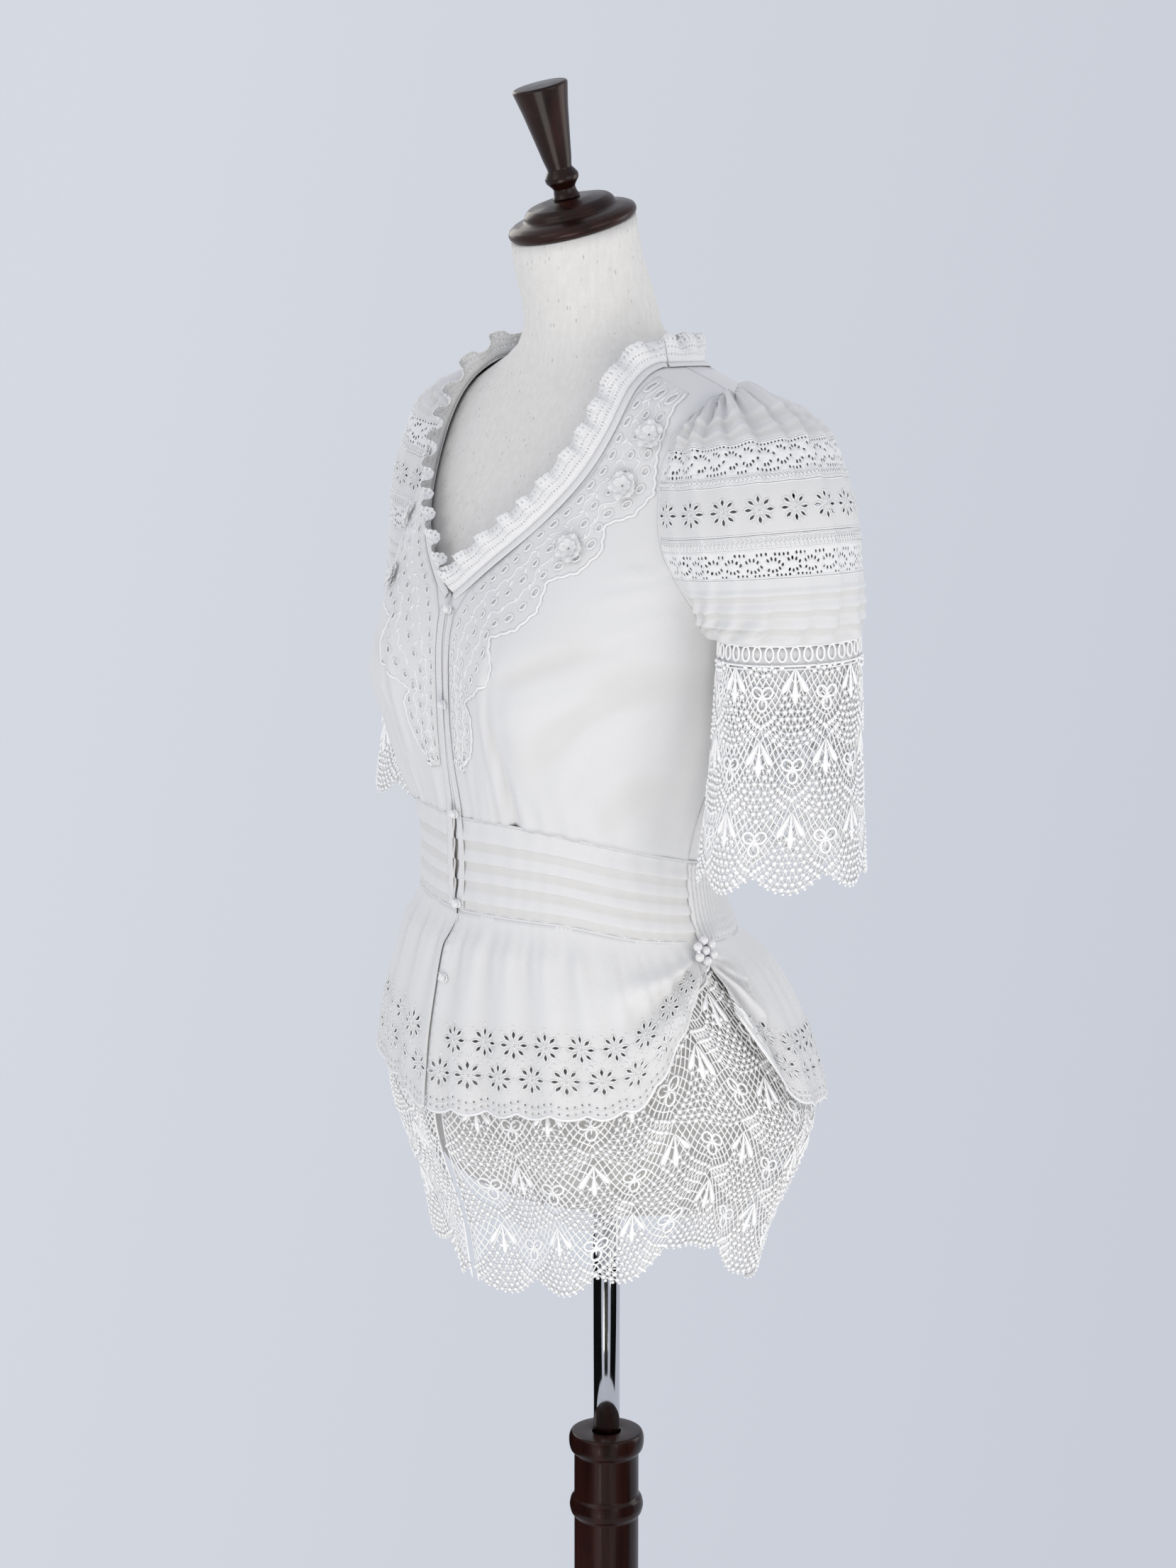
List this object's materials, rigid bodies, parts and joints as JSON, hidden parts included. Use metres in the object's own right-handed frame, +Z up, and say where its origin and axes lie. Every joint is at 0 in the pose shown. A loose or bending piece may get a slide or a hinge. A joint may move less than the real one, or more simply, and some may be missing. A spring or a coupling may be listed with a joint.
{
  "type": "eyelet blouse on a limbless dress form with stand",
  "caption": "Short-sleeved white eyelet and lace blouse with pintucked waist, draped peplum and lace under-skirt, worn on a limbless form on a turned wooden stand.",
  "frame": {"origin": "on the floor at the centre of the base's underside, on the pole's axis", "axes": "+Z up along the pole, -Y the blouse's front, +X the wearer's left"},
  "size_m": [0.4752, 0.3276, 1.594],
  "materials": {
    "cotton": "matt white cotton lawn, plain, eyelet and pintucked",
    "lace": "white cotton guipure, insertion and edging lace",
    "organza": "sheer white organza petals with a small pearl",
    "linen": "off-white slubbed linen over a firm form",
    "wood": "dark red-brown stained wood, glossy",
    "chrome": "polished tube",
    "pearl": "silvery white imitation pearl"
  },
  "bodies": {
    "root": {"front_left": "cotton", "front_right": "cotton", "back": "cotton", "binding_left": "cotton", "binding_right": "cotton", "binding_back": "cotton", "placket_left": "cotton", "placket_right": "cotton", "waistband_left": "cotton", "waistband_right": "cotton", "waistband_back": "cotton", "peplum_left": "cotton", "peplum_right": "cotton", "peplum_back": "cotton", "sleeve_cap_left": "cotton", "sleeve_cap_right": "cotton", "sleeve_eyelet_left": "cotton", "sleeve_eyelet_right": "cotton", "sleeve_tucks_left": "cotton", "sleeve_tucks_right": "cotton", "yoke_left": "lace", "yoke_right": "lace", "neck_frill_left": "lace", "neck_frill_right": "lace", "neck_frill_back": "lace", "sleeve_lace_upper_left": "lace", "sleeve_lace_upper_right": "lace", "sleeve_lace_lower_left": "lace", "sleeve_lace_lower_right": "lace", "cuff_lace_left": "lace", "cuff_lace_right": "lace", "lace_skirt_left": "lace", "lace_skirt_right": "lace", "flower_1": "organza", "flower_2": "organza", "flower_3": "organza", "flower_4": "organza", "flower_5": "organza", "flower_6": "organza", "button_1": "pearl", "button_2": "pearl", "button_3": "pearl", "button_4": "pearl", "button_5": "pearl", "brooch_left": "pearl", "brooch_right": "pearl", "form_torso": "linen", "neck_cap": "wood", "finial": "wood", "column": "wood", "base": "wood", "pole": "chrome"}
  },
  "joints": []
}
